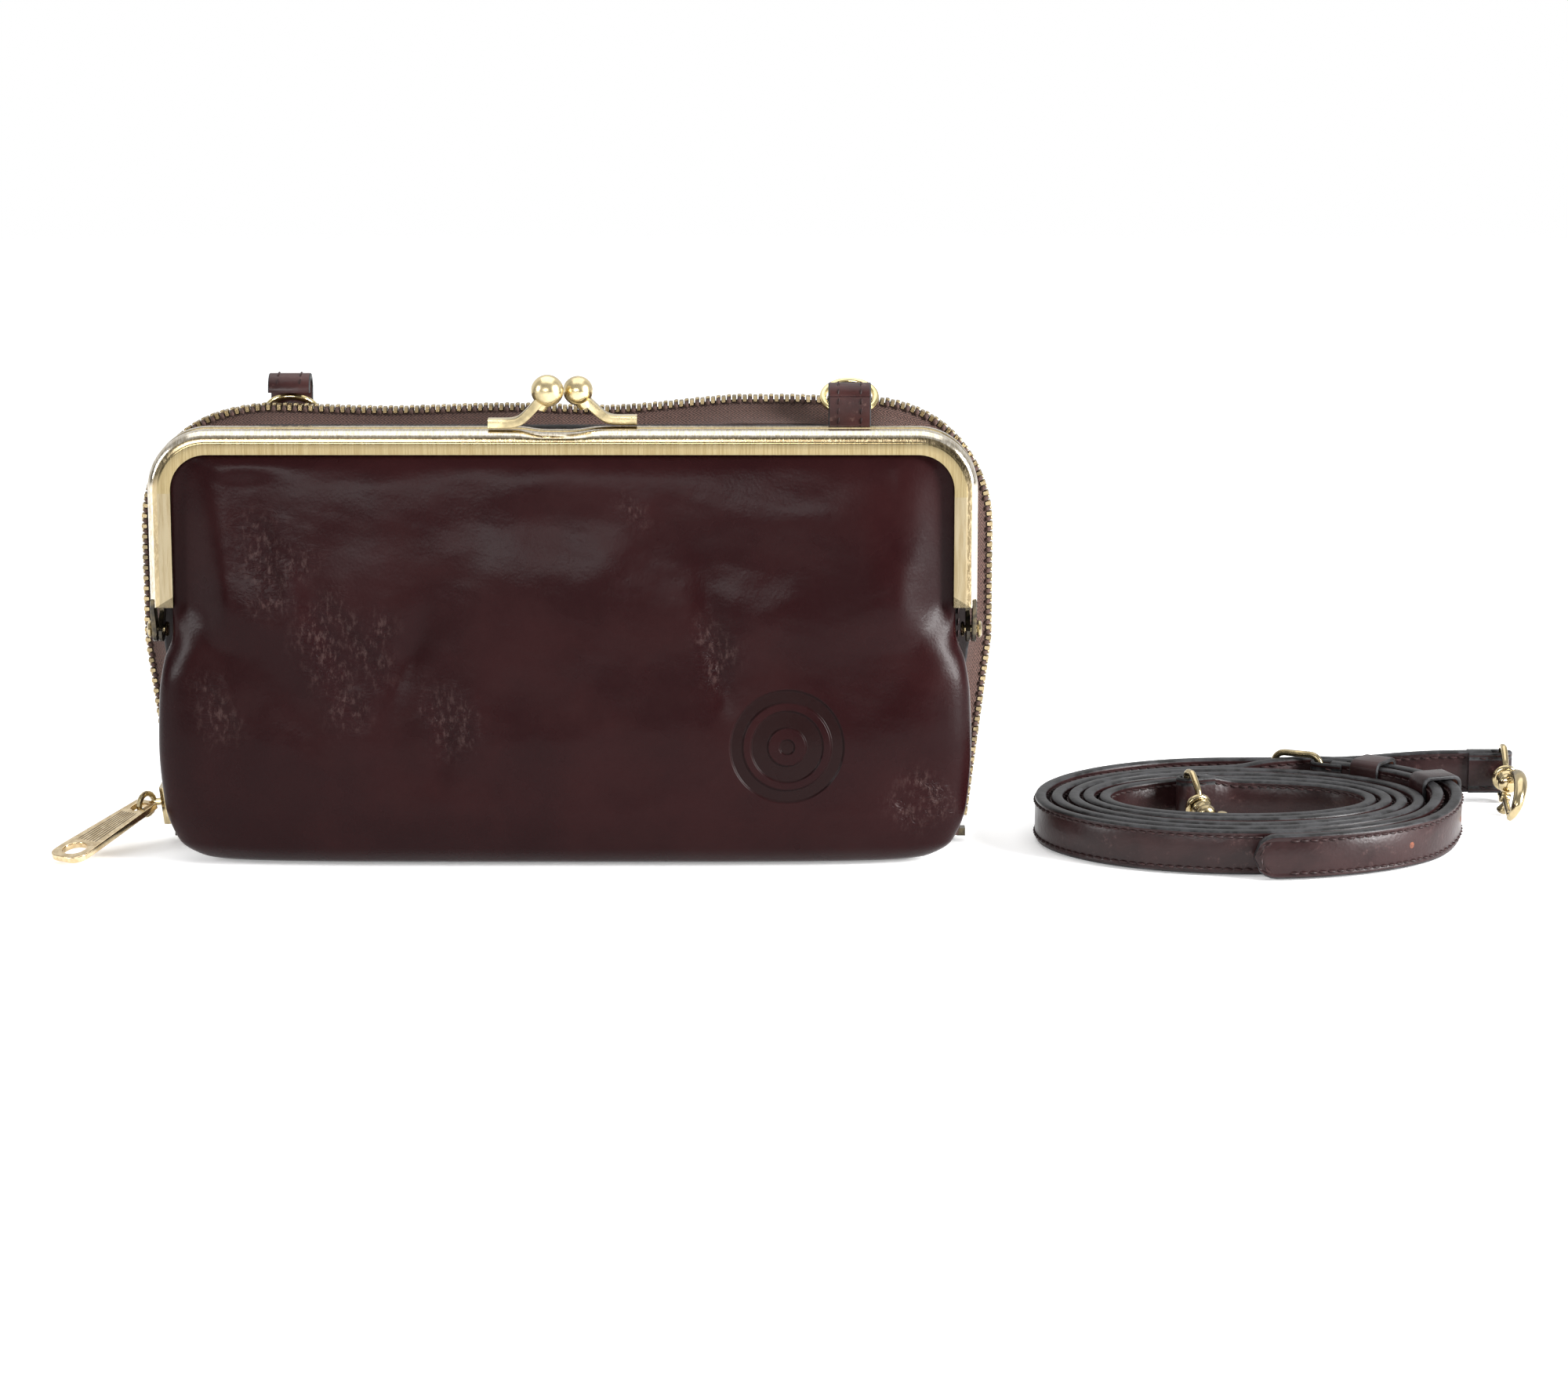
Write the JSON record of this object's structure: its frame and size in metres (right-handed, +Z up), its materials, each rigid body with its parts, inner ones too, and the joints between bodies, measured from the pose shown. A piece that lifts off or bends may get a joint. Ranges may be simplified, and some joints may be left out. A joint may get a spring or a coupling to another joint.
{
  "type": "crossbody purse",
  "caption": "Small leather crossbody purse: a zip-around wallet with a kiss-lock framed pouch on its front, and a detachable coiled shoulder strap with buckle and swivel hooks.",
  "frame": {"origin": "middle of the wallet's flat base, on the surface it stands on, under the zip", "axes": "+X to the purse's right seen from the pouch's front, +Y from the pouch towards the back, +Z up"},
  "size_m": [0.3556, 0.0849, 0.1155],
  "materials": {
    "pouch_leather": "glossy dark brown wrinkled leather",
    "panel_leather": "black leather",
    "strap_leather": "dark brown leather with painted edges",
    "zip_tape": "brown herringbone tape",
    "lining": "tan woven lining",
    "brushed_brass": "brushed antique brass",
    "antique_brass": "polished antique brass",
    "paper_cord": "twisted paper cord"
  },
  "bodies": {
    "purse_body": {"wallet_front_panel": "panel_leather", "wallet_spine": "panel_leather", "wallet_front_lining": "lining", "card_pocket_front": "pouch_leather", "zip_tape_front": "zip_tape", "zip_teeth_front": "antique_brass", "zip_stop_left": "antique_brass", "zip_stop_right": "antique_brass", "frame_rear": "brushed_brass", "kiss_lock_rear": "antique_brass", "hinge_rivet_left": "antique_brass", "hinge_rivet_right": "antique_brass", "pouch_back_upper": "pouch_leather", "frame_cord_rear": "paper_cord", "pouch_bag": "pouch_leather", "pouch_lining": "lining", "ring_tab_right": "pouch_leather"},
    "front_frame": {"frame_front": "brushed_brass", "kiss_lock_front": "antique_brass", "pouch_front_upper": "pouch_leather", "frame_cord_front": "paper_cord"},
    "wallet_back": {"wallet_back_panel": "panel_leather", "wallet_back_lining": "lining", "card_pocket_back": "pouch_leather", "zip_tape_back": "zip_tape", "zip_teeth_back": "antique_brass", "ring_tab_left": "pouch_leather"},
    "slider": {"zip_slider": "antique_brass"},
    "puller": {"zip_puller": "brushed_brass"},
    "right_ring": {"ring_right": "brushed_brass"},
    "left_ring": {"ring_left": "brushed_brass"},
    "strap": {"strap_long_coil": "strap_leather", "strap_long_tail": "strap_leather", "strap_long_lead": "strap_leather", "strap_short": "strap_leather", "buckle_frame": "antique_brass", "buckle_chape": "strap_leather", "hook_chape_inner": "strap_leather", "hook_chape_outer": "strap_leather", "strap_keeper_fixed": "strap_leather", "strap_keeper_sliding": "strap_leather", "hook_eye_outer": "antique_brass", "hook_eye_inner": "antique_brass"},
    "prong": {"buckle_prong": "antique_brass"},
    "outer_claw": {"hook_claw_outer": "antique_brass"},
    "outer_gate": {"hook_gate_outer": "antique_brass"},
    "inner_claw": {"hook_claw_inner": "antique_brass"},
    "inner_gate": {"hook_gate_inner": "antique_brass"}
  },
  "joints": [
    {"name": "frame_hinge", "type": "hinge", "parent": "purse_body", "child": "front_frame", "pos_m": [0, -0.018, 0.055], "axis": [1, 0, 0], "range_deg": [0, 60]},
    {"name": "wallet_hinge", "type": "hinge", "parent": "purse_body", "child": "wallet_back", "pos_m": [0, 0.009, 0.0016], "axis": [-1, 0, 0], "range_deg": [0, 80]},
    {"name": "zip_slide", "type": "slide", "parent": "purse_body", "child": "slider", "axis": [-0.1251, 0, 0.9921], "range_m": [0, 0.035]},
    {"name": "puller_hinge", "type": "hinge", "parent": "slider", "child": "puller", "pos_m": [-0.10176, -0.00163, 0.00877], "axis": [-0.8158, 0.5783, 0], "range_deg": [0, 85]},
    {"name": "right_ring_hinge", "type": "hinge", "parent": "purse_body", "child": "right_ring", "pos_m": [0.0669, -0.0078, 0.1054], "axis": [1, 0, 0], "range_deg": [0, 90]},
    {"name": "left_ring_hinge", "type": "hinge", "parent": "wallet_back", "child": "left_ring", "pos_m": [-0.066, 0.0083, 0.1054], "axis": [1, 0, 0], "range_deg": [0, 130]},
    {"name": "strap_lift", "type": "slide", "parent": "purse_body", "child": "strap", "axis": [0, 0, 1], "range_m": [0, 0.1]},
    {"name": "prong_hinge", "type": "hinge", "parent": "strap", "child": "prong", "pos_m": [0.18405, 0.02981, 0.0072], "axis": [0, 0, -1], "range_deg": [0, 12]},
    {"name": "outer_swivel", "type": "hinge", "parent": "strap", "child": "outer_claw", "pos_m": [0.2305, 0.03501, 0.00702], "axis": [0, -0.9982, -0.0593], "continuous": true},
    {"name": "outer_gate_hinge", "type": "hinge", "parent": "outer_claw", "child": "outer_gate", "pos_m": [0.22941, 0.0273, 0.00355], "axis": [-0.9397, -0.0203, 0.3414], "range_deg": [0, 20], "stiffness_Nm_per_rad": 0.002, "springref_deg": -28.65},
    {"name": "inner_swivel", "type": "hinge", "parent": "strap", "child": "inner_claw", "pos_m": [0.15152, 0.00692, 0.00656], "axis": [0.3322, -0.9184, -0.2147], "continuous": true},
    {"name": "inner_gate_hinge", "type": "hinge", "parent": "inner_claw", "child": "inner_gate", "pos_m": [0.15715, 0.00076, 0.00486], "axis": [-0.073, 0.2019, -0.9767], "range_deg": [0, 20], "stiffness_Nm_per_rad": 0.002, "springref_deg": -28.65}
  ]
}
